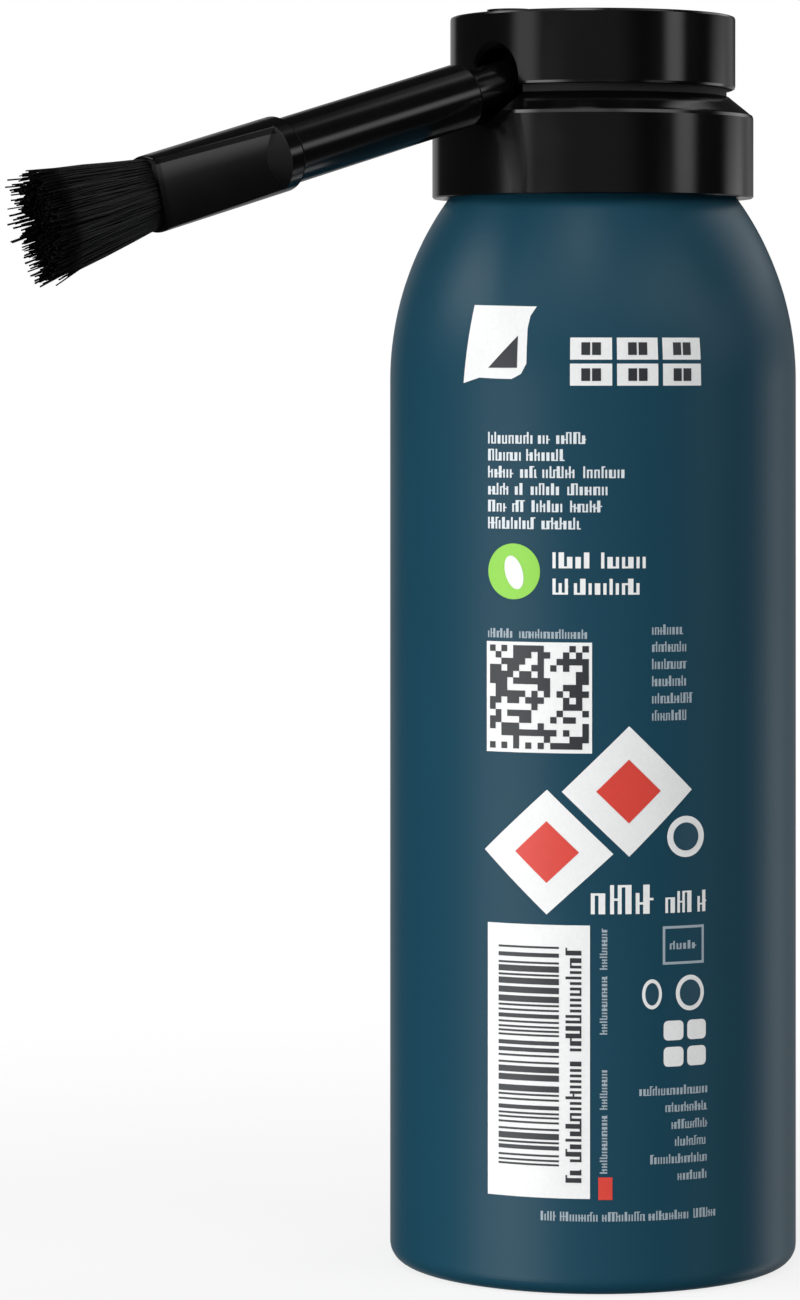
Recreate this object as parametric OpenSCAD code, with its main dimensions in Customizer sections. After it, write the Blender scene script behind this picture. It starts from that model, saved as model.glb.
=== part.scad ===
// Chain lube spray can with a brush applicator.
// Millimetres, +Z up, origin on the can's axis at its standing ring, brush arm along -X.

/* [Can] */
// Outside diameter of the can
can_d = 45; // [40:0.5:50]
// Height at which the straight wall turns into the shoulder
wall_h = 97.6; // [80:0.1:120]
// Radius of the shoulder's long arc
shoulder_r = 34.4; // [32:0.1:37]
// Radius of the round edge at the foot
foot_r = 2.1; // [1.5:0.1:3]
// Width of the flat standing ring
ring_w = 1.2; // [0.8:0.1:2]
// Height of the domed base at the axis
dome_h = 7.5; // [5:0.1:9]
// Radius of the can's mouth, a one inch opening
mouth_r = 12.7; // [12.6:0.05:12.8]

/* [Valve] */
// Thickness of the valve cup's sheet
cup_t = 0.4; // [0.3:0.05:0.5]
// Thickness of the gasket under the cup's rim
gasket_t = 0.4; // [0.3:0.05:0.6]
// Radius of the valve stem
stem_r = 1.95; // [1.8:0.05:2]
// Outside radius of the dip tube
dip_r = 1.8; // [1.5:0.05:2]
// Number of working turns in the return spring
spring_turns = 5; // [3:1:7]

/* [Collar] */
// Outside diameter of the collar
collar_d = 35.64; // [35.2:0.02:36]
// Height of the collar's lower edge above the base
collar_z = 117.7; // [117.6:0.05:117.9]
// Height of the collar's top edge above the base
collar_top = 128.94; // [128.8:0.02:129]
// Width of the saddle notch that the neck of the brush arm drops into
saddle_w = 7.2; // [6.8:0.1:7.6]

/* [Button] */
// Diameter of the press button
button_d = 31.64; // [31:0.02:32]
// Height of the button's lower edge at rest
button_z = 129.7; // [129.65:0.05:130]
// Height of the button's top face at rest
button_top = 137.8; // [137.5:0.1:138.2]
// Half width of the arched opening in the button's side
arch_r = 3.35; // [3.2:0.05:3.5]
// Height of the arch's centre
arch_z = 130.5; // [130.3:0.05:130.7]
// Depth of the bevel round the arch's mouth
arch_bevel = 0.62; // [0.4:0.02:0.8]

/* [Brush arm] */
// Downward slope of the arm from the horizontal, degrees
arm_tilt = 14.82; // [13:0.1:16]
// Height at which the arm's line meets the can's axis
arm_z = 133.8; // [133.6:0.05:134]
// Radius of the arm's neck
neck_r = 2.4; // [2.2:0.05:2.5]
// Radius of the arm's tube
tube_r = 3.53; // [3.3:0.01:3.6]
// Distance along the arm from the can's axis to the tube's inner end
tube_start = 21.3; // [20.8:0.1:22]
// Distance along the arm to the inner end of the ferrule
ferrule_start = 48.9; // [46:0.1:52]
// Length of the ferrule
ferrule_len = 18.5; // [16:0.1:20]
// Radius of the ferrule's round ends
ferrule_r = 4.03; // [3.95:0.01:4.2]
// Distance of the ferrule's pressed flats from its axis beside the round ring
flat_in = 2.3; // [2.2:0.05:2.5]
// Distance of the pressed flats from the axis at the mouth
flat_out = 1.75; // [1.6:0.05:2]

/* [Bristles] */
// Length of the bristles outside the ferrule
bristle_len = 15.4; // [12:0.1:17]
// Half height of the brush at its tips
tip_half_h = 5.2; // [4.5:0.1:6]
// Half thickness of the brush at its tips
tip_half_t = 2.7; // [2:0.1:4]
// Number of oval rings of tufts round the middle one
tuft_rings = 4; // [3:1:5]

/* [Hidden] */
$fn = 96;
eps = 0.02;

// Can
can_r = can_d / 2;
shoulder_c = can_r - shoulder_r;
neck_r_in = 15;
neck_z = wall_h + sqrt(pow(shoulder_r, 2) - pow(neck_r_in - shoulder_c, 2));
bead_r = 1.45;
bead_c = mouth_r + 0.05 + bead_r;
bead_z = neck_z + 2.5;
bead_top = bead_z + bead_r;
ring_out = can_r - foot_r;
ring_in = ring_out - ring_w;
heel_r = 1.6;
pocket_z = 115.2;
housing_pocket_r = 5.6;
housing_floor = 106;
dip_bore_r = dip_r + 0.1;
dip_bottom = 12;

// Valve
cup_seat = bead_top + gasket_t;
cup_top = cup_seat + cup_t;
cup_rim_r = bead_c + bead_r + 0.5;
cup_wall_r = mouth_r - 0.15;
cup_floor = 116;
turret_r = 6.2;
turret_top = 126.2;
stem_top = 132;
stem_foot = 121.6;
spring_r = 2.2;
spring_wire = 0.25;
spring_foot = 112.4;
housing_r = 4.9;
housing_wall = 1;
gasket_z = 124.7;

// Collar
collar_r = collar_d / 2;
collar_in = 16.85;
lip_in = 16.25;
lip_h = 1.9;
web_z = cup_top + 0.2;
web_t = 1;
web_in = 7.4;
skirt_gap = 0.15;
bore_r = 15;
chamfer_low = 127;
chamfer_r = 17.43;
press_travel = 0.7;
saddle_drop = 0.1;

// Button
button_r = button_d / 2;
plate_t = 1.2;
button_wall = 1.4;
skirt_r = bore_r - skirt_gap;
skirt_wall = 1;
skirt_z = 126.2;
hub_r = 4.6;
hub_z = 127.6;
rib_t = 1;
rib_z = 131;
boss_r = 3.1;
boss_end = 12;
mark_h = 0.22;

// Arm and ferrule, measured along the arm
feed_r = 1;
arm_root = 2.8;
ring_len = 2;
ferrule_end = ferrule_start + ferrule_len;
tube_end = ferrule_start + ring_len + 0.4;
spigot_r = 1.5;
spigot_end = tube_end + 4;
ferrule_wall = 0.65;
cavity_start = spigot_end + 0.8;
slab = 20;

// Bristles
bristle_end = ferrule_end + bristle_len;
root_end = cavity_start + 2;
root_w = 0.4;
mouth_half_h = ferrule_r - ferrule_wall - root_w - 0.1;
mouth_half_t = flat_out - ferrule_wall - root_w - 0.08;

// Points of an arc from angle a0 to a1 about c, ends included
function arc(c, r, a0, a1, n) =
    [for (i = [0 : n]) let (a = a0 + (a1 - a0) * i / n) [c[0] + r * cos(a), c[1] + r * sin(a)]];

// Radius of the dome's sphere, from its rise over the inside of the standing ring
dome_rim = ring_in - heel_r * 0.6;
dome_rise = dome_h - heel_r * 0.55;
dome_r = (pow(dome_rim, 2) + pow(dome_rise, 2)) / (2 * dome_rise);

// Places its children with +Z along the brush arm and +X on the arm's upper side
module along_arm() {
    translate([0, 0, arm_z]) rotate([0, -(90 + arm_tilt), 0]) children();
}

// Ring with a plain rectangular section
module ring(r_out, r_in, z0, z1) {
    translate([0, 0, z0]) difference() {
        cylinder(r = r_out, h = z1 - z0);
        translate([0, 0, -1]) cylinder(r = r_in, h = z1 - z0 + 2);
    }
}

// Outline of the can from the dome's edge round the foot, up the wall and over the shoulder
function can_outline() = concat(
    [[0, dome_h]],
    [for (i = [1 : 10]) let (a = asin(dome_rim / dome_r) * i / 10)
        [dome_r * sin(a), dome_h - dome_r + dome_r * cos(a)]],
    arc([ring_in, heel_r], heel_r, 215, 270, 5),
    arc([ring_out, foot_r], foot_r, 270, 360, 10),
    arc([shoulder_c, wall_h], shoulder_r, 0, acos((neck_r_in - shoulder_c) / shoulder_r), 24),
    [[14.55, neck_z + 0.55], [14.45, neck_z + 1.3]],
    arc([bead_c, bead_z], bead_r, -80, 180, 20),
    [[mouth_r, bead_z - 2], [mouth_r, pocket_z], [0, pocket_z]]);

module can_body() {
    color("#1f4a5c") difference() {
        rotate_extrude() polygon(can_outline());
        translate([0, 0, housing_floor]) cylinder(r = housing_pocket_r, h = pocket_z);
        translate([0, 0, dip_bottom - 1]) cylinder(r = dip_bore_r, h = pocket_z);
    }
}

module valve_cup() {
    turret_in = turret_r - cup_t;
    color("silver") difference() {
        rotate_extrude() polygon([
            [cup_rim_r, bead_z - 0.9], [cup_rim_r, cup_top - 0.6], [cup_rim_r - 0.6, cup_top],
            [cup_wall_r - cup_t - 0.3, cup_top], [cup_wall_r - cup_t, cup_top - 0.4],
            [cup_wall_r - cup_t, cup_floor + cup_t + 0.6], [cup_wall_r - cup_t - 0.6, cup_floor + cup_t],
            [turret_r + 0.5, cup_floor + cup_t], [turret_r, cup_floor + cup_t + 0.6],
            [turret_r, turret_top - 0.8], [turret_r - 0.8, turret_top],
            [stem_r + 0.3, turret_top], [stem_r + 0.3, turret_top - cup_t],
            [turret_in - 0.6, turret_top - cup_t], [turret_in, turret_top - cup_t - 0.6],
            [turret_in, cup_floor], [cup_wall_r, cup_floor], [cup_wall_r, cup_seat],
            [cup_rim_r - cup_t, cup_seat], [cup_rim_r - cup_t, bead_z - 0.9]]);
        // Dimples that crimp the turret onto the valve housing
        for (a = [0 : 60 : 300]) rotate([0, 0, a]) translate([turret_r + 1, 0, 119.5])
            sphere(r = 1.15);
    }
}

module cup_gasket() {
    color("#202020") ring(bead_c + bead_r + 0.02, mouth_r + 0.1, bead_top, cup_seat);
}

module valve_housing() {
    well_floor = spring_foot - 0.2;
    color("ivory") difference() {
        union() {
            translate([0, 0, well_floor - 1.4]) cylinder(r = housing_r, h = 122.9 - well_floor + 1.4);
            translate([0, 0, 121.5]) cylinder(r = turret_r - cup_t - 0.05, h = gasket_z - 121.5);
            translate([0, 0, housing_floor + 0.3]) cylinder(r = dip_r + 0.9, h = 6);
        }
        translate([0, 0, well_floor]) cylinder(r = spring_r + 0.55, h = 20);
        translate([0, 0, housing_floor - 1]) cylinder(r = 1.1, h = 10);
        translate([0, 0, housing_floor - 1]) cylinder(r = dip_r + eps, h = 4.3);
        // Side port that lets the can spray when it is held upside down
        translate([0, 0, well_floor + 2]) rotate([0, 90, 0]) cylinder(r = 0.5, h = 10);
    }
}

module stem_gasket() {
    color("#303030") ring(turret_r - cup_t - 0.65, stem_r + 0.02, gasket_z, turret_top - cup_t);
}

// Wire centre line of the spring, closed coils at both ends
module valve_spring() {
    top = stem_foot - 0.05;
    height = top - spring_foot - spring_wire * 2;
    steps = spring_turns * 16;
    sides = 6;
    function centre(i) = let (t = i / steps, a = t * 360 * spring_turns)
        [spring_r * cos(a), spring_r * sin(a), spring_foot + spring_wire + height * (t - sin(360 * t) / 12)];
    function loop(i) = let (t = i / steps, a = t * 360 * spring_turns, c = centre(i))
        [for (k = [0 : sides - 1]) let (b = k * 360 / sides)
            c + spring_wire * [cos(b) * cos(a), cos(b) * sin(a), sin(b)]];
    points = [for (i = [0 : steps]) each loop(i)];
    walls = [for (i = [0 : steps - 1], k = [0 : sides - 1]) let (a = i * sides, n = (k + 1) % sides)
        [a + k, a + sides + k, a + sides + n, a + n]];
    first = [for (k = [0 : sides - 1]) k];
    last = [for (k = [sides - 1 : -1 : 0]) steps * sides + k];
    color("silver") polyhedron(points, concat(walls, [first, last]), convexity = 10);
}

module valve_stem() {
    color("white") difference() {
        union() {
            translate([0, 0, stem_foot + 1]) cylinder(r = stem_r, h = stem_top - stem_foot - 1);
            translate([0, 0, stem_foot + 0.8]) cylinder(r = spring_r + 0.4, h = gasket_z - stem_foot - 0.85);
            translate([0, 0, stem_foot]) cylinder(r = spring_r + 0.4, h = 0.9);
            translate([0, 0, stem_foot - 1.6]) cylinder(r = spring_r - spring_wire - 0.3, h = 2);
        }
        translate([0, 0, gasket_z + 0.4]) cylinder(r = 1, h = 20);
        // Metering hole that the gasket opens when the stem goes down
        translate([0, 0, gasket_z + 0.55]) rotate([0, 90, 0]) translate([0, 0, -4])
            cylinder(r = 0.25, h = 8);
    }
}

module dip_tube() {
    color("white") ring(dip_r, 1.2, dip_bottom, housing_floor + 3.3);
}

// Outline of the collar's section: holding lip, wall, top chamfer, bore and inner web
function collar_outline() = [
    [lip_in, collar_z + 0.3], [lip_in + 0.3, collar_z],
    [collar_r - 0.15, collar_z], [collar_r, collar_z + 0.15],
    [collar_r, chamfer_low - 0.55], [collar_r - 0.1, chamfer_low - 0.2], [chamfer_r, chamfer_low],
    [bore_r + 0.12, collar_top - 0.06], [bore_r, collar_top - 0.14],
    [bore_r, web_z + web_t], [web_in, web_z + web_t], [web_in, web_z],
    [collar_in, web_z], [collar_in, collar_z + lip_h + 0.4], [lip_in, collar_z + lip_h]];

module collar() {
    color("#141416") difference() {
        union() {
            rotate_extrude() polygon(collar_outline());
            // Ribs that stiffen the web round the valve's turret
            for (a = [15 : 30 : 345]) rotate([0, 0, a]) translate([web_in + 0.4, -0.4, web_z + web_t / 2])
                cube([3.4, 0.8, 1.1]);
        }
        saddle();
    }
}

// Round-bottomed notch that the neck drops into as the button is pressed
module saddle() {
    intersection() {
        union() {
            translate([0, 0, -saddle_drop]) along_arm() cylinder(r = saddle_w / 2, h = 30);
            translate([0, 0, -saddle_drop]) along_arm() translate([0, -saddle_w / 2, 0])
                cube([8, saddle_w, 30]);
        }
        translate([-30, -slab / 2, web_z + web_t]) cube([30, slab, 20]);
    }
}

// Outline of the button's shell: top plate, outer wall and the skirt that slides in the collar
function button_outline() = [
    [0, button_top], [button_r - 0.28, button_top], [button_r - 0.08, button_top - 0.08],
    [button_r, button_top - 0.28], [button_r, button_z + 0.35], [button_r - 0.1, button_z + 0.1],
    [button_r - 0.35, button_z], [skirt_r, button_z], [skirt_r, skirt_z + 0.3],
    [skirt_r - 0.3, skirt_z], [skirt_r - skirt_wall, skirt_z], [skirt_r - skirt_wall, button_z + 1],
    [button_r - button_wall, button_z + 2], [button_r - button_wall, button_top - plate_t],
    [0, button_top - plate_t]];

module button() {
    color("#141416") difference() {
        union() {
            rotate_extrude() polygon(button_outline());
            translate([0, 0, hub_z]) cylinder(r = hub_r, h = button_top - hub_z - 0.5);
            for (a = [60 : 60 : 300]) rotate([0, 0, 180 + a]) translate([hub_r - 1, -rib_t / 2, rib_z])
                cube([button_r - hub_r, rib_t, button_top - rib_z - 0.5]);
            // Boss that stands out of the hub and holds the neck of the arm
            along_arm() cylinder(r = boss_r, h = boss_end);
            direction_mark();
        }
        arch();
        // Socket for the valve stem, with a lead-in at its mouth
        translate([0, 0, hub_z - 1]) cylinder(r = stem_r + eps, h = stem_top - hub_z + 1);
        translate([0, 0, hub_z - eps]) cylinder(r1 = stem_r + 0.6, r2 = stem_r, h = 0.6);
        // Channel from the stem up to the arm
        translate([0, 0, hub_z]) cylinder(r = feed_r, h = arm_z - hub_z);
        along_arm() cylinder(r = feed_r, h = arm_root + 1);
        // Socket that holds the root of the arm
        along_arm() translate([0, 0, arm_root]) cylinder(r = neck_r + eps, h = boss_end);
    }
}

// Arched opening cut through the wall and the skirt, bevelled at its mouth
module arch() {
    low = skirt_z - 1;
    inner = button_r - button_wall - 2;
    face_x = button_r - arch_bevel;
    flare = arch_bevel + 0.4;
    translate([-inner, 0, arch_z]) rotate([0, -90, 0]) cylinder(r = arch_r, h = 6);
    translate([-inner - 6, -arch_r, low]) cube([6, arch_r * 2, arch_z - low]);
    translate([-face_x, 0, arch_z]) rotate([0, -90, 0])
        cylinder(r1 = arch_r, r2 = arch_r + flare, h = flare);
    translate([0, 0, low]) linear_extrude(arch_z - low) polygon([
        [-face_x, -arch_r], [-face_x - flare, -arch_r - flare],
        [-face_x - flare, arch_r + flare], [-face_x, arch_r]]);
}

// Low raised pad on top that shows which way the brush points
module direction_mark() {
    translate([-button_r + 1.55, 0, button_top - 0.5]) linear_extrude(0.5 + mark_h)
        polygon(concat(arc([1.3, 0], 2.6, 100, 260, 12), [[1.4, -2.6], [1.4, 2.6]]));
}

module brush_arm() {
    color("#161618") along_arm() difference() {
        rotate_extrude() polygon(concat(
            [[0, arm_root + 0.1], [neck_r - 0.4, arm_root + 0.1], [neck_r, arm_root + 0.5],
             [neck_r, tube_start]],
            arc([tube_r - 0.5, tube_start + 0.5], 0.5, -90, 0, 5),
            [[tube_r, tube_end - 0.4], [tube_r - 0.4, tube_end], [spigot_r, tube_end],
             [spigot_r, spigot_end - 0.3], [spigot_r - 0.3, spigot_end], [0, spigot_end]]));
        cylinder(r = feed_r, h = spigot_end + 1);
    }
}

// Slab whose two faces are the ferrule's flats, closing in towards the mouth
module flats(inset) {
    half_in = flat_in - inset;
    half_out = flat_out - inset;
    z0 = ferrule_start + ring_len;
    rotate([90, 0, 90]) translate([0, 0, -slab / 2]) linear_extrude(slab) polygon([
        [-half_in, z0], [half_in, z0], [half_out, ferrule_end + 1], [-half_out, ferrule_end + 1]]);
}

module brush_ferrule() {
    ring_end = ferrule_start + ring_len;
    color("#161618") along_arm() difference() {
        union() {
            rotate_extrude() polygon(concat(
                [[0, ferrule_start]],
                arc([ferrule_r - 0.3, ferrule_start + 0.3], 0.3, -90, 0, 4),
                [[ferrule_r, ring_end], [flat_in - 0.4, ring_end + ferrule_r - flat_in + 0.4], [0, ring_end + 4]]));
            intersection() {
                flats(0);
                rotate_extrude() polygon(concat(
                    [[0, ring_end - 0.5], [ferrule_r, ring_end - 0.5]],
                    arc([ferrule_r - 0.2, ferrule_end - 0.2], 0.2, 0, 90, 4),
                    [[0, ferrule_end]]));
            }
        }
        translate([0, 0, ferrule_start - 1]) cylinder(r = tube_r + eps, h = tube_end - ferrule_start + 1.05);
        translate([0, 0, ferrule_start]) cylinder(r = spigot_r + eps, h = spigot_end - ferrule_start + 0.1);
        cylinder(r = feed_r, h = cavity_start + 1);
        intersection() {
            flats(ferrule_wall);
            translate([0, 0, cavity_start]) cylinder(r = ferrule_r - ferrule_wall, h = slab);
        }
    }
}

// Half size of the brush at distance s along the arm, which swells towards the tips
function swell(root, tip, s) =
    let (t = max(0, (s - ferrule_end) / bristle_len)) root + (tip - root) * (0.45 * t + 0.55 * t * t);

// One tuft: a bent rod with pointed end, ring and turn give its place in the bundle
module tuft(ring_no, turn, reach) {
    sides = 5;
    f = ring_no / tuft_rings;
    stations = [root_end - 0.5, ferrule_end + 0.3, ferrule_end + reach * 0.4, ferrule_end + reach * 0.75,
                ferrule_end + reach];
    widths = [root_w, root_w, 0.78, 0.85, 0.3];
    function place(s) = [f * swell(mouth_half_h, tip_half_h, s) * cos(turn),
                         f * swell(mouth_half_t, tip_half_t, s) * sin(turn), s];
    points = [for (i = [0 : len(stations) - 1], k = [0 : sides - 1])
        let (b = k * 360 / sides + turn, w = widths[i])
            place(stations[i]) + w * [cos(b), sin(b), 0]];
    walls = [for (i = [0 : len(stations) - 2], k = [0 : sides - 1])
        let (a = i * sides, n = (k + 1) % sides) [a + k, a + sides + k, a + sides + n, a + n]];
    first = [for (k = [0 : sides - 1]) k];
    last = [for (k = [sides - 1 : -1 : 0]) (len(stations) - 1) * sides + k];
    polyhedron(points, concat(walls, [first, last]), convexity = 4);
}

module bristles() {
    reach_noise = rands(-0.12, 0.06, 200, 7);
    color("#0c0c0d") along_arm() {
        // Fused root of the bundle, seated in the ferrule
        intersection() {
            flats(ferrule_wall + 0.04);
            difference() {
                translate([0, 0, cavity_start + 0.05])
                    cylinder(r = ferrule_r - ferrule_wall - 0.04, h = root_end - cavity_start);
                cylinder(r = feed_r * 0.8, h = root_end + 1);
            }
        }
        for (ring_no = [1 : tuft_rings], i = [0 : 6 * ring_no - 1])
            tuft(ring_no, i * 60 / ring_no + 17 * ring_no, bristle_len * (1 + reach_noise[i + 30 * ring_no]));
    }
}

can_body();
valve_cup();
cup_gasket();
valve_housing();
stem_gasket();
valve_spring();
valve_stem();
dip_tube();
collar();
button();
brush_arm();
brush_ferrule();
bristles();
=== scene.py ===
import math
import random

import bmesh
import bpy
from mathutils import Matrix, Vector


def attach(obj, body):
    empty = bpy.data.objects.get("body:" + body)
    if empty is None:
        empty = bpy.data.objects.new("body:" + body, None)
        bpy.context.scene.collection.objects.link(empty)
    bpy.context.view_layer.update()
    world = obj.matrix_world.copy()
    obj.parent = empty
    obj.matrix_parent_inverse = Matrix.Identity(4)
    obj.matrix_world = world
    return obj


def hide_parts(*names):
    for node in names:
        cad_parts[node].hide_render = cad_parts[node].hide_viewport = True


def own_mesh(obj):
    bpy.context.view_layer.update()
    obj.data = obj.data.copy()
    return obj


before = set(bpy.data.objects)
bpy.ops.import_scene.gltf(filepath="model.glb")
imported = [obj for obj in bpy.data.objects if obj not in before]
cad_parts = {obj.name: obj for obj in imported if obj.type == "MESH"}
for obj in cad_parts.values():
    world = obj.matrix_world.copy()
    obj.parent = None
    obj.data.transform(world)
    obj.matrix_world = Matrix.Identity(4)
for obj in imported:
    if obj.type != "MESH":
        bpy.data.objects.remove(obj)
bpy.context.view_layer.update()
mm = 0.001


# Shader maths as Python expressions, and one way to add any other node

class Wire:
    def __init__(self, tree, socket):
        self.tree, self.socket = tree, socket

    def maths(self, operation, *values):
        sockets = dict(enumerate(values))
        return addNode(self.tree, "ShaderNodeMath", {"operation": operation}, sockets)

    def __add__(self, other):
        return self.maths("ADD", self, other)

    def __radd__(self, other):
        return self.maths("ADD", other, self)

    def __sub__(self, other):
        return self.maths("SUBTRACT", self, other)

    def __rsub__(self, other):
        return self.maths("SUBTRACT", other, self)

    def __mul__(self, other):
        return self.maths("MULTIPLY", self, other)

    def __rmul__(self, other):
        return self.maths("MULTIPLY", other, self)

    def __truediv__(self, other):
        return self.maths("DIVIDE", self, other)

    def __pow__(self, other):
        return self.maths("POWER", self, other)

    def __gt__(self, other):
        return self.maths("GREATER_THAN", self, other)

    def __abs__(self):
        return self.maths("ABSOLUTE", self)

    def soft(self, low, high):  # 0 below low, 1 above high, smooth between
        return addNode(self.tree, "ShaderNodeMapRange", {"interpolation_type": "SMOOTHSTEP"},
                       {"Value": self, "From Min": low, "From Max": high})


def socketOf(sockets, key):
    if isinstance(key, int):
        return sockets[key]
    for socket in sockets:
        if key in (socket.identifier, socket.name) and socket.enabled:
            return socket
    raise KeyError(f"no socket {key}")


def addNode(tree, kind, settings=None, sockets=None, out=0):
    node = tree.nodes.new(kind)
    for name, value in (settings or {}).items():
        setattr(node, name, value)
    for key, value in (sockets or {}).items():
        socket = socketOf(node.inputs, key)
        if isinstance(value, Wire):
            tree.links.new(value.socket, socket)
        else:
            socket.default_value = value
    return Wire(tree, socketOf(node.outputs, out))


class Finish:
    def __init__(self, name):
        self.material = bpy.data.materials.new(name)
        self.material.use_nodes = True
        self.tree = self.material.node_tree
        self.shader = self.tree.nodes["Principled BSDF"]

    def node(self, kind, settings=None, sockets=None, out=0):
        return addNode(self.tree, kind, settings, sockets, out)

    def place(self, centre=(0, 0, 0), turn=(0, 0, 0)):  # object coordinates through a Mapping
        coords = self.node("ShaderNodeTexCoord", out="Object")
        return self.node("ShaderNodeMapping", {"vector_type": "TEXTURE"},
                         {"Vector": coords, "Location": centre, "Rotation": turn})

    def axes(self, vector):
        return [self.node("ShaderNodeSeparateXYZ", None, {"Vector": vector}, out=i) for i in range(3)]

    def noise(self, vector, scale, detail=3.0, rough=0.5):
        return self.node("ShaderNodeTexNoise", None,
                         {"Vector": vector, "Scale": scale, "Detail": detail, "Roughness": rough}, out="Fac")

    def mix(self, mask, low, high):
        colours = [c if isinstance(c, Wire) else (*c, 1) for c in (low, high)]
        return self.node("ShaderNodeMix", {"data_type": "RGBA"},
                         {"Factor_Float": mask, "A_Color": colours[0], "B_Color": colours[1]},
                         out="Result_Color")

    def bump(self, height, strength, distance):
        return self.node("ShaderNodeBump", None,
                         {"Height": height, "Strength": strength, "Distance": distance}, out="Normal")

    def set(self, **values):
        for name, value in values.items():
            socket = self.shader.inputs[name.replace("_", " ")]
            if isinstance(value, Wire):
                self.tree.links.new(value.socket, socket)
            else:
                socket.default_value = value
        return self.material

    def surface(self, shader):
        self.tree.links.new(shader.socket, self.tree.nodes["Material Output"].inputs["Surface"])

    # painted shade: where mask is 1, a near-black dull surface is mixed in, standing in for shade
    def paintShade(self, mask):  # where mask is 1 the surface is dull and takes up nearly all light
        glossy = Wire(self.tree, self.shader.outputs["BSDF"])
        dull = self.node("ShaderNodeBsdfPrincipled", None,
                         {"Base Color": (0.001, 0.001, 0.001, 1), "Roughness": 0.8, "IOR": 1.1}, out="BSDF")
        self.surface(self.node("ShaderNodeMixShader", None, {"Fac": mask, 1: glossy, 2: dull}, out="Shader"))


# Camera: the picture is 800 by 1300, its longer side is the sensor's

cameraSettings = {
    "place": (-0.3857, -0.3681, 0.0993),
    "heading": -44.19,       # degrees from +Y, about +Z
    "lens": 132.8,
    "sensor": 36,
    "shift": (-0.0099, -0.2196),
    "nearest": 0.02,
}


def makeCamera(s):
    data = bpy.data.cameras.new("photoCamera")
    data.lens, data.sensor_width, data.sensor_fit = s["lens"], s["sensor"], "AUTO"
    data.shift_x, data.shift_y = s["shift"]
    data.clip_start = s["nearest"]
    camera = bpy.data.objects.new("photoCamera", data)
    camera.location = s["place"]
    camera.rotation_euler = (math.radians(90), 0, math.radians(s["heading"]))
    bpy.context.collection.objects.link(camera)
    bpy.context.scene.camera = camera


makeCamera(cameraSettings)
print("camera placed")


# Can: satin lacquer over drawn aluminium, bare underneath and inside the neck

canSettings = {
    "lacquer": (0.0082, 0.0518, 0.0834),
    "lacquerDeep": (0.0072, 0.0464, 0.0758),
    "roughness": 0.36,
    "gloss": 1.25,           # index of refraction, low for a satin lacquer
    "cloud": 45,             # scales of its clouding, its orange peel and its specks
    "peel": 1500,
    "speck": 5200,
    "bump": (0.35, 0.02 * mm),  # strength and depth
    "seamTurn": 43.7,        # degrees about +Z, where the lacquer's overlap runs up the back
    "seamHalfWidth": 0.35 * mm,
    "seamColour": (0.006, 0.024, 0.038),
    "rubbed": (0.01 * mm, 0.06 * mm),  # heights between which the standing ring's wear fades out
    "rubbedScale": 700,
    "rubbedColour": (0.16, 0.2, 0.22),
    "aluminium": (0.62, 0.63, 0.64),
    "aluminiumRoughness": 0.28,
    "drawLines": 3200,       # scale of the rings that drawing leaves
    "bareRadius": 18.4 * mm,  # underneath, the domed bottom is bare within this radius and below this height
    "bareBelow": 8 * mm,
    "neckBare": 119.3 * mm,  # the neck is bare above this height
}


def makeCanPaint(s):
    f = Finish("canLacquer")
    coords = f.place()
    x, y, z = f.axes(coords)
    radius = (x * x + y * y) ** 0.5
    turn = math.radians(s["seamTurn"])
    ahead = x * math.cos(turn) + y * math.sin(turn)
    aside = y * math.cos(turn) - x * math.sin(turn)
    seam = (ahead > 0) * (1 - abs(aside).soft(s["seamHalfWidth"] * 0.8, s["seamHalfWidth"]))
    dome = 1 - radius.soft(s["bareRadius"] - 0.3 * mm, s["bareRadius"])
    dome = dome * (1 - z.soft(s["bareBelow"], s["bareBelow"] + 1 * mm))
    bare = dome.maths("MAXIMUM", dome, z.soft(s["neckBare"], s["neckBare"] + 0.2 * mm))
    cloud = f.noise(coords, s["cloud"], 2)
    peel = f.noise(coords, s["peel"], 2)
    speck = f.noise(coords, s["speck"], 1)
    rubbed = (1 - z.soft(*s["rubbed"])) * f.noise(coords, s["rubbedScale"], 3).soft(0.47, 0.6)
    lines = f.noise(f.node("ShaderNodeCombineXYZ", None, {"X": radius, "Y": z * 0.2}), s["drawLines"], 2)
    paint = f.mix(cloud, s["lacquer"], s["lacquerDeep"])
    paint = f.mix(seam * 0.5, paint, s["seamColour"])
    paint = f.mix(rubbed * 0.6, paint, s["rubbedColour"])
    painted = s["roughness"] + (cloud - 0.5) * 0.05 + rubbed * 0.15
    rough = painted * (1 - bare) + bare * (s["aluminiumRoughness"] + lines * 0.14)
    height = peel * 0.6 + speck * 0.15 + bare * lines * 0.5
    return f.set(Base_Color=f.mix(bare, paint, s["aluminium"]), Roughness=rough, Metallic=bare,
                 IOR=s["gloss"], Normal=f.bump(height, *s["bump"]))


def coat(material, *nodes):
    for node in nodes:
        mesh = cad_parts[node].data
        mesh.materials.clear()
        mesh.materials.append(material)


coat(makeCanPaint(canSettings), "can_body")
print("can lacquered")


# Print: a film of ink on the lacquer, laid out flat in mm (along the wall, up the wall), then bent round

inkSettings = {
    "centreTurn": -136.34,   # degrees about +Z, where the print's middle faces
    "lift": 0.03,            # of the lower film off the lacquer, the upper film lies twice as high
    "cell": 0.9,             # longest straight step round the wall
    "wallRadius": 22.5,
    "wallHeight": 97.6,      # here the straight wall ends and the shoulder's arc begins
    "shoulderRadius": 34.4,
    "shoulderCuts": (0.1, 8),  # height of the first cut above the wall, and number of cuts 1 mm apart
    "roughness": 0.4,
    "gloss": 1.42,
    "cover": 2600,           # scales of the ink's fine and coarse unevenness
    "weave": 300,
    "worn": 0.95,            # the darker of its two tones, as a share of the lighter
    "bump": (0.2, 0.01 * mm),
}

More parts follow.
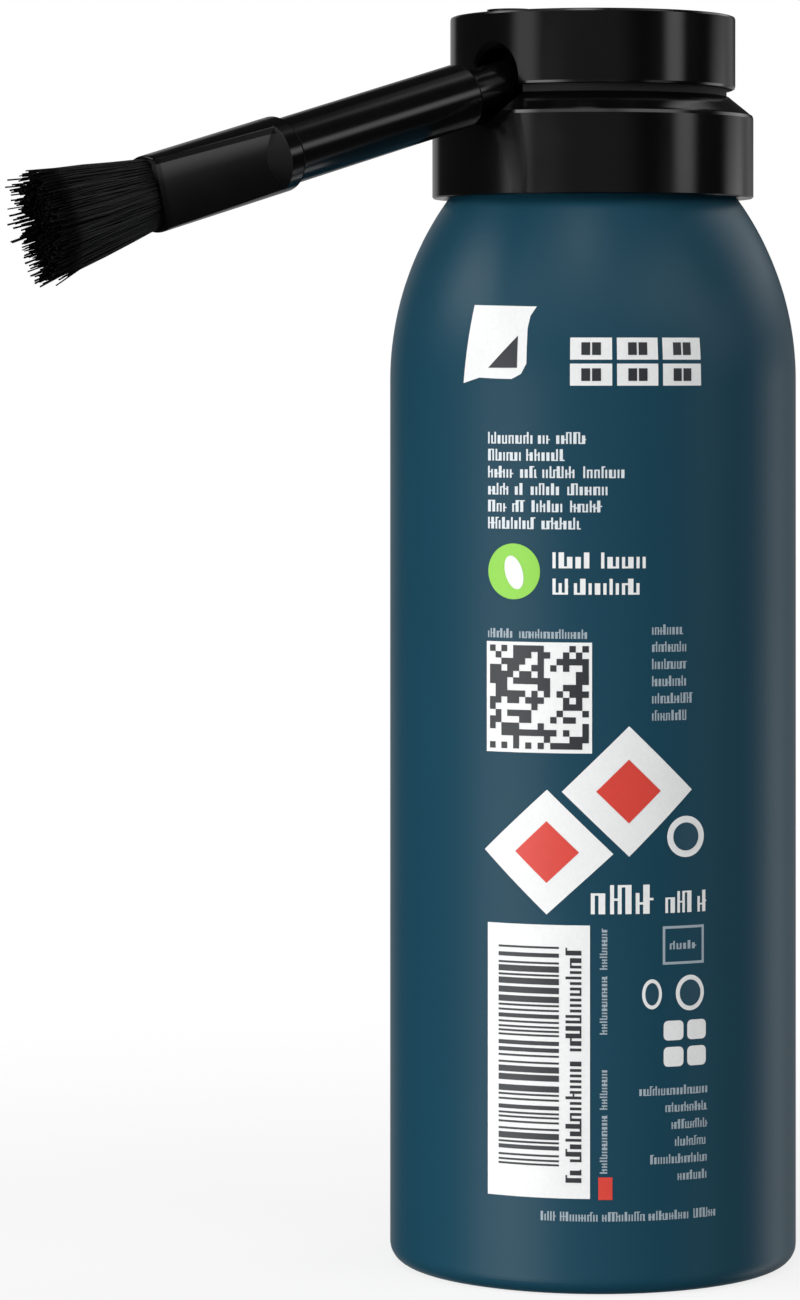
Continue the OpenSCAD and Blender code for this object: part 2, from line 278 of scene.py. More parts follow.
inkColours = {
    "inkWhite": (0.78, 0.79, 0.79),
    "inkSoft": (0.66, 0.71, 0.74),
    "inkFaint": (0.31, 0.38, 0.43),
    "inkGreen": (0.25, 0.6, 0.06),
    "inkDark": (0.02, 0.024, 0.028),
    "inkCoral": (0.62, 0.05, 0.035),
    "inkLacquer": canSettings["lacquer"],
}

# Fields and bars are left, low, right, high. Ovals are centre, half width, half height, points, turn.
layoutSettings = {
    "badge": [(-14.92, 97.31), (-12.8, 97.9), (-10.75, 97.8), (-8.9, 97.75), (-7.8, 98.3), (-7.2, 99.4),
              (-7.2, 101.4), (-7.2, 103.2), (-6.95, 104.5), (-6.29, 105.5), (-14.14, 105.7), (-14.71, 99.4)],
    "badgeCorner": [(-11.7, 98.95), (-8.26, 98.95), (-8.26, 102.4)],
    "tileLefts": (-2.42, 2.6, 7.64),
    "tileRows": (97.05, 99.82),
    "tile": (4.5, 2.35),
    "tileMarks": ((1.2, 0.5, 2.15, 1.85), (2.35, 0.5, 3.3, 1.85)),  # from the tile's lower left corner
    "disc": (-8.67, 77.21, 3.0, 2.98, 64),
    "discMiddle": (-8.6, 77.1, 1.0, 1.85, 32, 0.3),
    "cellField": (-11.86, 57.9, -0.07, 69.7),
    "cellStart": (-11.45, 58.3),
    "cells": 16,
    "cell": 0.69,
    "cellShare": 0.52,       # how many of the cells are dark
    "diamonds": [[(-12.1, 47.4), (-4.95, 40.7), (2.2, 47.2), (-4.9, 54.0)],
                 [(-3.3, 53.8), (3.9, 46.9), (11.0, 53.9), (3.9, 60.8)]],
    "diamondMiddles": ((-4.95, 47.35, 3.5, 3.3, 4), (3.87, 53.85, 3.5, 3.4, 4)),
    "rings": (((10.3, 48.9), (2.2, 2.2), (1.5, 1.5)),  # centre, outer half width and height, inner ones
              ((6.4, 32.2), (1.1, 1.6), (0.75, 1.2)),
              ((10.8, 32.2), (1.7, 1.9), (1.25, 1.4))),
    "box": (7.6, 35.3, 12.5, 39.4),
    "boxLine": 0.28,
    "padLefts": (7.7, 10.45),
    "padRows": (24.4, 27.2),
    "pad": (2.3, 2.1),
    "padCorner": 0.5,
    "barField": (-11.73, 10.5, -0.29, 39.6),
    "bars": (-10.4, 13.9, -3.6, 37.2),
    "barWidths": (0.22, 0.22, 0.44, 0.66),
    "barGaps": (0.22, 0.3, 0.5),
    "block": (0.6, 10.4, 2.1, 12.8),
    "seed": 11,
}

strokeSettings = {
    "tallShare": 0.3,        # how many of the strokes have the row's full height
    "low": 0.72,             # height of the others, as a share of it
    "widths": (1.0, 1.0, 1.7),  # in pens
    "armShare": 0.5,         # how many have a short arm to the right
    "arm": 0.6,              # its thickness in pens
    "step": 0.95,            # space to the next stroke, in pens
}

# Side of the given edge, edge, foot of the top row, step down, height, gap, pen, each row's word lengths
textSettings = {
    "inkSoft": [
        ("left", -11.7, 90.85, 1.82, 1.25, 0.6, 0.2,
         (5.2, 1.4, 3.2), (3.9, 4.2), (3.2, 1.9, 3.8, 4.4),
         (2.6, 1.2, 3.4, 4.6), (2.3, 1.6, 3.6, 3.6), (5.6, 4.4)),
    ],
    "inkWhite": [
        ("left", -4.3, 77.6, 2.8, 1.7, 0.6, 0.34, (4.6, 4.8), (1.7, 7.6)),
        ("left", -0.2, 40.8, 0, 3.1, 0.45, 0.42, (1.6, 2.3, 2.3)),
        ("left", 7.9, 40.8, 0, 2.3, 0.4, 0.3, (3.4, 1.0)),
    ],
    "inkFaint": [
        ("left", -11.7, 70.1, 0, 1.0, 0.5, 0.16, (3.2, 7.4)),
        ("left", 6.4, 70.5, 1.83, 1.1, 0.5, 0.16, (3.6,), (4.1,), (4.0,), (3.9,), (4.7,), (4.1,)),
        ("left", 8.4, 36.9, 0, 0.9, 0.5, 0.2, (3.3,)),
        ("right", 13.0, 21.4, 1.83, 1.0, 0.5, 0.16, (8.0,), (5.1,), (4.4,), (4.0,), (6.8,), (3.7,)),
        ("left", -5.6, 8.1, 0, 1.0, 0.4, 0.16, (1.7, 4.1, 4.6, 4.8, 3.0)),
    ],
}

# Rows that read upwards: where their feet stand, start, height, gap, pen, seed, word lengths
upwardSettings = {
    "inkFaint": [
        (1.55, 28, 0.8, 0.5, 0.16, 1, (6.2,)),
        (1.55, 34.9, 0.8, 0.5, 0.16, 1, (4.4,)),
        (1.55, 13.2, 0.8, 0.5, 0.16, 1, (6.2,)),
        (1.55, 20.0, 0.8, 0.5, 0.16, 1, (4.2,)),
    ],
    "inkDark": [
        (-1.2, 12.2, 1.7, 0.8, 0.3, 3, (1.4, 11.0, 11.2)),
    ],
}


def bar(x0, y0, x1, y1):
    return [(x0, y0), (x1, y0), (x1, y1), (x0, y1)]


def pill(x0, y0, x1, y1, r):
    corners = [(x1 - r, y0 + r, -90), (x1 - r, y1 - r, 0), (x0 + r, y1 - r, 90), (x0 + r, y0 + r, 180)]
    points = []
    for cx, cy, start in corners:
        for k in range(5):
            a = math.radians(start + k * 22.5)
            points.append((cx + r * math.cos(a), cy + r * math.sin(a)))
    return points


def oval(cx, cy, rx, ry, n=48, turn=0):
    points = []
    for k in range(n):
        a = math.tau * k / n
        px, py = rx * math.cos(a), ry * math.sin(a)
        points.append((cx + px * math.cos(turn) - py * math.sin(turn),
                       cy + px * math.sin(turn) + py * math.cos(turn)))
    return points


def ringBars(x0, y0, x1, y1, t):  # a thin frame as four bars
    return [bar(x0, y0, x1, y0 + t), bar(x0, y1 - t, x1, y1),
            bar(x0, y0 + t, x0 + t, y1 - t), bar(x1 - t, y0 + t, x1, y1 - t)]


def words(x0, y, height, lengths, gap, pen, seed=1):  # a row of short upright strokes, grouped like words
    p = strokeSettings
    draw = random.Random(seed + round(y * 100))
    strokes = []
    for length in lengths:
        end = x0 + length
        while x0 < end - pen:
            tall = height * (1.0 if draw.random() < p["tallShare"] else p["low"])
            wide = pen * draw.choice(p["widths"])
            strokes.append(bar(x0, y, min(x0 + wide, end), y + tall))
            if draw.random() < p["armShare"]:
                thick = pen * p["arm"]
                rise = draw.choice((0, tall / 2 - thick / 2, tall - thick))
                strokes.append(bar(x0 + wide, y + rise, min(x0 + wide + pen, end), y + rise + thick))
            x0 += wide + pen * p["step"]
        x0 = end + gap
    return strokes


def textRows(side, edge, top, step, height, gap, pen, *rows):  # set against their left or right edge
    strokes = []
    for k, lengths in enumerate(rows):
        left = edge if side == "left" else edge - sum(lengths)
        strokes += words(left, top - step * k, height, lengths, gap, pen)
    return strokes


def upward(feet, start, height, gap, pen, seed, lengths):  # a row turned a quarter to the left
    row = words(start, 0.0, height, lengths, gap, pen, seed)
    return [[(feet - y, x) for x, y in shape] for shape in row]


def grid(lefts, rows):
    return [(left, row) for row in rows for left in lefts]


def printLayout(p):
    shapes = {name: [] for name in inkColours}
    white = shapes["inkWhite"]
    white.append(p["badge"])
    wide, tall = p["tile"]
    white.extend(bar(x, y, x + wide, y + tall) for x, y in grid(p["tileLefts"], p["tileRows"]))
    shapes["inkGreen"].append(oval(*p["disc"]))
    white.append(bar(*p["cellField"]))
    white.extend(p["diamonds"])
    white.extend(oval(*centre, *outer) for centre, outer, inner in p["rings"])
    shapes["inkFaint"].extend(ringBars(*p["box"], p["boxLine"]))
    wide, tall = p["pad"]
    for x, y in grid(p["padLefts"], p["padRows"]):
        white.append(pill(x, y, x + wide, y + tall, p["padCorner"]))
    white.append(bar(*p["barField"]))
    shapes["inkCoral"].append(bar(*p["block"]))
    for ink, blocks in textSettings.items():
        for block in blocks:
            shapes[ink] += textRows(*block)
    for row in upwardSettings["inkFaint"]:
        shapes["inkFaint"] += upward(*row)
    return shapes


def overprint(p):  # what lies on top of the white fields
    dark = [p["badgeCorner"]]
    for x, y in grid(p["tileLefts"], p["tileRows"]):
        dark.extend(bar(x + x0, y + y0, x + x1, y + y1) for x0, y0, x1, y1 in p["tileMarks"])
    draw = random.Random(p["seed"])
    (x0, y0), cell = p["cellStart"], p["cell"]
    for i in range(p["cells"]):
        for j in range(p["cells"]):
            if draw.random() < p["cellShare"]:
                dark.append(bar(x0 + i * cell, y0 + j * cell, x0 + (i + 1) * cell, y0 + (j + 1) * cell))
    left, y, right, top = p["bars"]
    while y < top:
        thick = draw.choice(p["barWidths"])
        dark.append(bar(left, y, right, y + thick))
        y += thick + draw.choice(p["barGaps"])
    for row in upwardSettings["inkDark"]:
        dark += upward(*row)
    return {
        "inkDark": dark,
        "inkWhite": [oval(*p["discMiddle"])],
        "inkCoral": [oval(*middle) for middle in p["diamondMiddles"]],
        "inkLacquer": [oval(*centre, *inner) for centre, outer, inner in p["rings"]],
    }


def wallRadius(s, height):
    over = max(0.0, height - s["wallHeight"])
    return s["wallRadius"] - s["shoulderRadius"] + math.sqrt(s["shoulderRadius"] ** 2 - over ** 2)


def cutFlat(bm, place, normal):
    bmesh.ops.bisect_plane(bm, geom=bm.verts[:] + bm.edges[:] + bm.faces[:],
                           plane_co=place, plane_no=normal, dist=1e-7)


def makeInk(material, shapes, lift, s):
    mesh = bpy.data.meshes.new(material.name)
    mesh.materials.append(material)
    bm = bmesh.new()
    for points in shapes:
        bm.faces.new([bm.verts.new((px, py, 0)) for px, py in points])
    low = min(v.co.x for v in bm.verts)
    high = max(v.co.x for v in bm.verts)
    cut = math.floor(low / s["cell"]) * s["cell"] + s["cell"]
    while cut < high:  # slice along the wall so that every face is narrow enough to bend
        cutFlat(bm, (cut, 0, 0), (1, 0, 0))
        cut += s["cell"]
    first, cuts = s["shoulderCuts"]
    for k in range(cuts):
        cutFlat(bm, (0, s["wallHeight"] + first + k, 0), (0, 1, 0))
    for v in bm.verts:
        turn = math.radians(s["centreTurn"]) + v.co.x / s["wallRadius"]
        radius = wallRadius(s, v.co.y) + lift
        v.co = Vector((radius * math.cos(turn), radius * math.sin(turn), v.co.y)) * mm
    bmesh.ops.triangulate(bm, faces=bm.faces[:])
    for face in bm.faces:
        middle = face.calc_center_median()
        if face.normal.dot(Vector((middle.x, middle.y, 0))) < 0:
            face.normal_flip()
        face.smooth = True
    bm.to_mesh(mesh)
    bm.free()
    piece = bpy.data.objects.new(material.name, mesh)
    bpy.context.collection.objects.link(piece)
    return piece


def makeInkFinish(name, colour, s):
    f = Finish(name)
    coords = f.place()
    cover = f.noise(coords, s["cover"], 2)
    weave = f.noise(coords, s["weave"], 2)
    worn = [c * s["worn"] for c in colour]
    return f.set(Base_Color=f.mix((cover * 0.6 + weave * 0.4).soft(0.3, 0.7), worn, colour),
                 Roughness=s["roughness"] + (cover - 0.5) * 0.1, IOR=s["gloss"],
                 Normal=f.bump(cover, *s["bump"]))


def joinPieces(name, pieces):
    bpy.ops.object.select_all(action="DESELECT")
    for piece in pieces:
        piece.select_set(True)
    bpy.context.view_layer.objects.active = pieces[0]
    bpy.ops.object.join()
    pieces[0].name = pieces[0].data.name = name
    return pieces[0]


def makePrint(s, layout):
    inks = {name: makeInkFinish(name, colour, s) for name, colour in inkColours.items()}
    films = [makeInk(inks[name], shapes, s["lift"], s)
             for name, shapes in printLayout(layout).items() if shapes]
    films += [makeInk(inks[name], shapes, s["lift"] * 2, s) for name, shapes in overprint(layout).items()]
    film = joinPieces("wall_print", films)
    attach(film, "can")


makePrint(inkSettings, layoutSettings)
print("print laid on")


# Black mouldings: lengths along the arm are counted from the can's axis

mouldSettings = {
    "black": (0.0012, 0.0012, 0.0014),
    "blackWorn": (0.0032, 0.0032, 0.0034),
    "headRoughness": 0.13,
    "armRoughness": 0.16,
    "gloss": 1.45,
    "grain": 2600,           # scales of the mould's grain, the plastic's flow and the dust
    "flow": 160,
    "dust": 900,
    "bump": (0.15, 0.02 * mm),
    "gapBelow": 129.72 * mm,  # the button's skirt in the gap above the collar is matt with oil and dust
    "gapEdge": 0.05 * mm,
    "gapRoughness": 0.6,     # what the oil adds
}

armSettings = {
    "height": 133.8 * mm,    # where the arm's line meets the can's axis
    "tilt": 14.82,           # degrees that the arm drops towards the brush
    "ringStart": 48.9 * mm,  # the ferrule is round from here
    "ringEnd": 51.2 * mm,    # to here, where its pressed flats begin
    "mouth": 67.4 * mm,
    "mouthRound": 0.8 * mm,
    "bulge": (0.026, 18.0),  # slope of the flats at their middle, and its growth per metre upwards
    "creaseIn": 2.6 * mm,    # height of the soft crease above the flats at the ring
    "creaseOut": 3.05 * mm,  # and at the mouth
    "crease": (0.75, 0.6 * mm),  # its slope and width
    "creaseFade": 0.6 * mm,  # it ends in this length beside the ring
    "clear": 20 * mm,        # a height above all of the ferrule
    "coneSum": 54.93 * mm,   # radius plus distance along the arm, on the cone between ring and flats
    "coneEdge": (0.02 * mm, 0.1 * mm),
    "coneStart": (0.32 * mm, 0.22 * mm),  # before the ring's end
    "coneRoughness": 0.4,    # what the cone has more of than the ring
    "conePaintedShade": 0.5,        # painted shade: how dark the cone is, and the rims at both ends
    "rimPaintedShade": 0.9,
    "rimWidth": (0.3 * mm, 0.4 * mm),  # of the painted dark rim where the ring starts
    "paintedSheen": (0.05, 0.05, 0.051),  # painted sheen: the flats are lighter just below the crease, standing in for light falling there
    "paintedSheenEdge": 0.1 * mm,
}


def armTurn(s):
    return math.radians(-90 - s["tilt"])


def alongArm(f, s):  # coordinates with x up from the arm's line, y across it and z along it
    return f.place((0, 0, s["height"]), (0, armTurn(s), 0))


def makeMoulding(name, roughness, s, gapBelow=None, ferrule=None):
    f = Finish(name)
    coords = f.place()
    grain = f.noise(coords, s["grain"], 3)
    flow = f.noise(coords, s["flow"], 3)
    dust = f.noise(coords, s["dust"], 4, 0.7).soft(0.66, 0.8)
    colour = f.mix(flow * 0.5 + dust * 0.4, s["black"], s["blackWorn"])
    rough = roughness + (flow - 0.5) * 0.05 + dust * 0.1
    normal = f.bump(grain * 0.5 + flow * 0.8, *s["bump"])
    if gapBelow:
        inGap = 1 - f.axes(coords)[2].soft(gapBelow - s["gapEdge"], gapBelow + s["gapEdge"])
        rough = rough + inGap * s["gapRoughness"]
    if ferrule:
        normal, paintedSheen, cone, rim = pressed(f, ferrule, normal)
        # painted sheen on the flats
        colour = f.mix(paintedSheen, colour, ferrule["paintedSheen"])
        rough = rough + cone * ferrule["coneRoughness"]
        # painted shade on the cone and rims, where the ferrule's steps fall dark
        f.paintShade(cone * ferrule["conePaintedShade"] + rim * ferrule["rimPaintedShade"])
    return f.set(Base_Color=colour, Roughness=rough, IOR=s["gloss"], Normal=normal)


def pressed(f, s, under):  # the ferrule's form as bump, and masks for the painted sheen on its flats, and for its cone and rims, which get painted shade
    up, aside, along = f.axes(alongArm(f, s))
    share = (along - s["ringEnd"]) / (s["mouth"] - s["ringEnd"])
    onRing = 1 - along.soft(s["ringEnd"] - s["creaseFade"], s["ringEnd"])
    crease = share * (s["creaseOut"] - s["creaseIn"]) + s["creaseIn"] + onRing * s["clear"]
    past = up - crease
    steep, width = s["crease"]
    over = past.maths("MAXIMUM", past, 0.0)
    over = over.maths("MINIMUM", over, width)
    slope, growth = s["bulge"]
    drop = up * slope + up * up * (growth / 2) + over * steep
    normal = f.node("ShaderNodeBump", None,
                    {"Height": drop * -1, "Strength": 1.0, "Distance": 1.0, "Normal": under}, out="Normal")
    radius = (up * up + aside * aside) ** 0.5
    coneIn, coneOut = s["coneEdge"]
    coneFrom, coneFull = s["coneStart"]
    cone = 1 - (radius + along).soft(s["coneSum"] + coneIn, s["coneSum"] + coneOut)
    cone = cone * along.soft(s["ringEnd"] - coneFrom, s["ringEnd"] - coneFull)
    # painted sheen: lighter towards the crease, kept off the cone and above the crease, from 1 mm past the
    # ring's end
    paintedSheen = (up / crease).soft(0.3, 1.0) * (1 - cone)
    paintedSheen = paintedSheen * (1 - past.soft(-s["paintedSheenEdge"], s["paintedSheenEdge"]))
    paintedSheen = paintedSheen * along.soft(s["ringEnd"], s["ringEnd"] + 1 * mm)
    mouth = along.soft(s["mouth"] - s["mouthRound"], s["mouth"] - s["mouthRound"] * 0.7)
    # painted shade masks: a dark rim where the ring starts, and a half-dark lip at the mouth
    rimIn, rimOut = s["rimWidth"]
    start = 1 - along.soft(s["ringStart"] + rimIn, s["ringStart"] + rimOut)
    return normal, paintedSheen, cone, mouth * 0.5 + start


def finishMouldings(s):
    head, arm = s["headRoughness"], s["armRoughness"]
    coat(makeMoulding("collarBlack", head, s), "collar")
    coat(makeMoulding("buttonBlack", head, s, gapBelow=s["gapBelow"]), "button")
    coat(makeMoulding("armBlack", arm, s), "brush_arm")
    coat(makeMoulding("ferruleBlack", arm, s, ferrule=armSettings), "brush_ferrule")


finishMouldings(mouldSettings)
print("mouldings finished")


# Brush: filaments spread over the ferrule's mouth by Geometry Nodes

brushSettings = {
    "rootAt": 64.5 * mm,     # along the arm, inside the ferrule
    "length": 17.9 * mm,
    "lengthSpread": 2.6 * mm,
    "hollow": 1.6 * mm,      # how much shorter the middle filaments are than the outer ones
    "mouth": (3.3 * mm, 1.02 * mm),
    "flare": (0.6, 1.9),     # growth of the bundle's half height and half thickness at the tips
    "filaments": 1500,
    "radius": 0.085 * mm,
    "taper": 0.55,           # how much thinner the tips are
    "sides": 5,
    "joints": 6,             # points along a filament
    "stray": 0.05,           # how far each filament leans its own way
    "rise": 0.35 * mm,       # how far the bundle bends up at its tips
    "wave": 1.5 * mm,
    "waveScale": 260.0,
    "seed": 5,
    "black": (0.001, 0.001, 0.0011),
    "worn": (0.009, 0.009, 0.0095),
    "roughness": 0.5,
    "gloss": 1.35,
    "streak": 1400,          # scales of the filaments' streaks and of the tone of their clumps
    "clump": 900,
    "bump": (0.2, 0.02 * mm),
    "tipsFrom": 78.6 * mm,   # along the arm, where the painted shade on the tips begins
    "tipsFull": 80.6 * mm,
    "tipPaintedShade": 0.8,
}


def bundleInputs(s):
    return {
        "Filaments": s["filaments"], "Seed": s["seed"],
        "Length": s["length"], "Length Spread": s["lengthSpread"], "Hollow": s["hollow"],
        "Mouth Height": s["mouth"][0], "Mouth Thickness": s["mouth"][1],
        "Flare Height": s["flare"][0], "Flare Thickness": s["flare"][1],
        "Rise": s["rise"], "Radius": s["radius"], "Wave": s["wave"],
    }


def brushTree(material, s):
    tree = bpy.data.node_groups.new("filamentBundle", "GeometryNodeTree")
    tree.interface.new_socket(name="Geometry", in_out="INPUT", socket_type="NodeSocketGeometry")
    for name, value in bundleInputs(s).items():
        kind = "NodeSocketInt" if isinstance(value, int) else "NodeSocketFloat"
        tree.interface.new_socket(name=name, in_out="INPUT", socket_type=kind)
    tree.interface.new_socket(name="Geometry", in_out="OUTPUT", socket_type="NodeSocketGeometry")
    given = tree.nodes.new("NodeGroupInput")
    inputs = {socket.name: Wire(tree, socket) for socket in given.outputs if socket.name}

    def node(kind, settings=None, sockets=None, out=0):
        return addNode(tree, kind, settings, sockets, out)

    # roots all over the mouth
    area = node("GeometryNodeInputMeshFaceArea")
    area = node("GeometryNodeAttributeStatistic", {"domain": "FACE"},
                {"Geometry": inputs["Geometry"], "Attribute": area}, out="Sum")
    roots = node("GeometryNodeDistributePointsOnFaces", {"distribute_method": "RANDOM"},
                 {"Mesh": inputs["Geometry"], "Density": inputs["Filaments"] / area, "Seed": inputs["Seed"]},
                 out="Points")
    place = node("GeometryNodeInputPosition")
    height, thickness = (node("ShaderNodeSeparateXYZ", None, {"Vector": place}, out=i) for i in (0, 1))

    # each filament's length
    index = node("GeometryNodeInputIndex")
    spread = node("FunctionNodeRandomValue", {"data_type": "FLOAT"},
                  {"Min": -1.0, "Max": 1.0, "ID": index, "Seed": inputs["Seed"]}, out=1)
    reach = inputs["Length"] + spread * inputs["Length Spread"] * 0.5
    across, deep = height / inputs["Mouth Height"], thickness / inputs["Mouth Thickness"]
    reach = reach - inputs["Hollow"] * (1 - (across * across + deep * deep))

    # its lean: outwards with the flare, a little upwards, and a little its own way
    stray = node("FunctionNodeRandomValue", {"data_type": "FLOAT_VECTOR"},
                 {"Min": (-s["stray"], -s["stray"], 0), "Max": (s["stray"], s["stray"], 0),
                  "Seed": inputs["Seed"] + 3}, out="Value")
    lean = node("ShaderNodeCombineXYZ", None, {"X": height * inputs["Flare Height"] + inputs["Rise"],
                                               "Y": thickness * inputs["Flare Thickness"],
                                               "Z": inputs["Length"]})
    lean = node("ShaderNodeVectorMath", {"operation": "NORMALIZE"}, {0: lean})
    lean = node("ShaderNodeVectorMath", {"operation": "ADD"}, {0: lean, 1: stray})
    turn = node("FunctionNodeAlignRotationToVector", {"axis": "Z"}, {"Vector": lean})

    # one tapered filament, repeated on the roots
    line = node("GeometryNodeCurvePrimitiveLine", None, {"End": (0, 0, 1)})
    line = node("GeometryNodeResampleCurve", None, {"Curve": line, "Count": s["joints"]})
    along = node("GeometryNodeSplineParameter", out="Factor")
    line = node("GeometryNodeSetCurveRadius", None, {"Curve": line, "Radius": 1 - (along ** 3) * s["taper"]})
    outline = node("GeometryNodeCurvePrimitiveCircle", {"mode": "RADIUS"},
                   {"Resolution": s["sides"], "Radius": 1.0})
    filament = node("GeometryNodeCurveToMesh", None,
                    {"Curve": line, "Profile Curve": outline, "Fill Caps": True})
    size = node("ShaderNodeCombineXYZ", None, {"X": inputs["Radius"], "Y": inputs["Radius"], "Z": reach})
    bundle = node("GeometryNodeInstanceOnPoints", None,
                  {"Points": roots, "Instance": filament, "Rotation": turn, "Scale": size})
    bundle = node("GeometryNodeRealizeInstances", None, {"Geometry": bundle})

    # waves that grow towards the tips
    spot = node("GeometryNodeInputPosition")
    risen = node("ShaderNodeSeparateXYZ", None, {"Vector": spot}, out=2) / inputs["Length"]
    wander = node("ShaderNodeTexNoise", None,
                  {"Vector": spot, "Scale": s["waveScale"], "Detail": 2.0}, out="Color")
    wander = node("ShaderNodeVectorMath", {"operation": "SUBTRACT"}, {0: wander, 1: (0.5, 0.5, 0.5)})
    push = node("ShaderNodeVectorMath", {"operation": "SCALE"},
                {"Vector": wander, "Scale": inputs["Wave"] * risen * risen})
    bundle = node("GeometryNodeSetPosition", None, {"Geometry": bundle, "Offset": push})
    bundle = node("GeometryNodeSetShadeSmooth", None, {"Geometry": bundle})
    bundle = node("GeometryNodeSetMaterial", None, {"Geometry": bundle, "Material": material})
    result = tree.nodes.new("NodeGroupOutput")
    tree.links.new(bundle.socket, result.inputs[0])
    return tree


def makeFilamentFinish(s):
    f = Finish("filamentBlack")
    coords = alongArm(f, armSettings)
    drawn = f.node("ShaderNodeVectorMath", {"operation": "MULTIPLY"}, {0: coords, 1: (1, 1, 0.25)})
    streak = f.noise(coords, s["streak"], 2)
    clump = f.noise(drawn, s["clump"], 2).soft(0.35, 0.65)
    tips = f.axes(coords)[2].soft(s["tipsFrom"], s["tipsFull"])
    # painted shadow on the tips, darkening the bundle's end face as if it lay in its own shade
    f.paintShade(tips * s["tipPaintedShade"])
    return f.set(Base_Color=f.mix(streak * 0.5 + clump * 0.5, s["black"], s["worn"]),
                 Roughness=s["roughness"] + (streak - 0.5) * 0.16, IOR=s["gloss"],
                 Normal=f.bump(streak, *s["bump"]))


def makeBrush(s):
    mesh = bpy.data.meshes.new("brushMouth")
    bm = bmesh.new()
    bm.faces.new([bm.verts.new((px, py, 0)) for px, py in oval(0, 0, *s["mouth"], 40)])
    bm.to_mesh(mesh)
    bm.free()
    mouth = bpy.data.objects.new("brushMouth", mesh)
    bpy.context.collection.objects.link(mouth)
    modifier = mouth.modifiers.new("filaments", "NODES")
    modifier.node_group = brushTree(makeFilamentFinish(s), s)
    values = bundleInputs(s)
    for item in modifier.node_group.interface.items_tree:
        if item.name in values:
            modifier[item.identifier] = values[item.name]
    bpy.context.view_layer.update()
    grown = bpy.data.meshes.new_from_object(mouth.evaluated_get(bpy.context.evaluated_depsgraph_get()))
    bpy.data.objects.remove(mouth)
    axis = Matrix.Translation((0, 0, armSettings["height"])) @ Matrix.Rotation(armTurn(armSettings), 4, "Y")
    grown.transform(axis @ Matrix.Translation((0, 0, s["rootAt"])))
    brush = bpy.data.objects.new("brush_filaments", grown)
    bpy.context.collection.objects.link(brush)
    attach(brush, "actuator")
    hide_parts("bristles")
    print("brush filaments:", len(grown.vertices), "vertices")


makeBrush(brushSettings)


# Valve: what lies between the can's neck and the collar, and inside the can

valveSettings = {            # colour, roughness, and the scale of the plain ones' grain
    "cup": ((0.66, 0.67, 0.68), 0.26),
    "wire": ((0.55, 0.56, 0.57), 0.24),
    "nylon": ((0.78, 0.76, 0.69), 0.42, 1800),
    "tube": ((0.8, 0.81, 0.8), 0.35, 900),
    "rubber": ((0.018, 0.018, 0.018), 0.7, 2400),
}


def makeTurnedMetal(name, colour, roughness):
    f = Finish(name)
    coords = f.place()
    x, y, z = f.axes(coords)
    radius = (x * x + y * y) ** 0.5
    lines = f.noise(f.node("ShaderNodeCombineXYZ", None, {"X": radius, "Z": z}), 4200, 3)
    stain = f.noise(coords, 350, 3)
    return f.set(Base_Color=f.mix(stain.soft(0.35, 0.75), colour, [c * 0.8 for c in colour]), Metallic=1.0,
                 Roughness=roughness + (lines - 0.5) * 0.16 + stain * 0.06,
                 Normal=f.bump(lines, 0.25, 0.01 * mm))


def makePlain(name, colour, roughness, grain):
    f = Finish(name)
    coords = f.place()
    fine = f.noise(coords, grain, 3)
    cloud = f.noise(coords, 220, 3)
    return f.set(Base_Color=f.mix(cloud * 0.7 + fine * 0.3, [c * 0.85 for c in colour], colour),
                 Roughness=roughness + (fine - 0.5) * 0.14, Normal=f.bump(fine, 0.3, 0.015 * mm))


coat(makeTurnedMetal("cupMetal", *valveSettings["cup"]), "valve_cup")
coat(makeTurnedMetal("springWire", *valveSettings["wire"]), "valve_spring")
coat(makePlain("valveNylon", *valveSettings["nylon"]), "valve_housing", "valve_stem")
coat(makePlain("tubePlastic", *valveSettings["tube"]), "dip_tube")
coat(makePlain("sealRubber", *valveSettings["rubber"]), "cup_gasket", "stem_gasket")

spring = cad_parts["valve_spring"]
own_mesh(spring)
print("valve finished")


# Stage: white floor and backdrop for the camera, soft light panels all round for everything else

stageSettings = {
    "floorSize": 4.0,
    "floorDrop": 0.02 * mm,  # below the standing ring, so that the two don't touch
    "paper": 0.9,
    "paperGlow": 0.8,        # share of the floor's white that no shadow can darken
    "fadeFrom": 0.05,        # the shadow fades out between these distances from the can
    "fadeTo": 0.22,
    "ambient": 0.03,
}

# In degrees: turn from the camera's direction (+ is the picture's right), half width, soft edge,
# lowest rise, highest rise, soft edge. The last value is the level.
lightPanels = {
    "leftLow": (-50, 20, 26, -40, -1, 4, 4.4),
    "leftHigh": (-58, 10, 12, 0, 20, 4, 1.2),
    "rightHigh": (67, 8, 10, 1, 22, 4, 1.9),
    "rightLow": (60, 12, 12, -40, 1, 4, 0.6),
    "rimLow": (150, 32, 20, -40, 2, 6, 0.28),
    "rimStripe": (120, 12, 13, -40, 2, 6, 1.5),
    "rimHigh": (134, 20, 18, 2, 20, 6, 0.3),
    "rimLeft": (-165, 15, 10, -40, 30, 10, 0.35),
    "frontLow": (-8, 34, 24, -40, -1, 4, 0.42),
    "frontHigh": (-8, 34, 24, -1, 18, 6, 0.16),
    "sideSpot": (85, 6, 6, 9, 21, 9, 1.9),
    "softLeft": (-75, 25, 20, 16, 38, 10, 5.2),
    "softFront": (-15, 30, 20, 18, 42, 12, 1.4),
    "softRight": (45, 25, 20, 18, 42, 12, 2.3),
    "keyLeft": (-45, 16, 20, 42, 68, 12, 0.7),
    "keyFront": (-12, 14, 20, 42, 68, 12, 4.9),
    "keyRight": (40, 28, 20, 42, 68, 12, 0.3),
    "backRight": (126, 19, 16, 12, 58, 10, 1.4),
}

plainWhite = (1, 1, 1, 1)


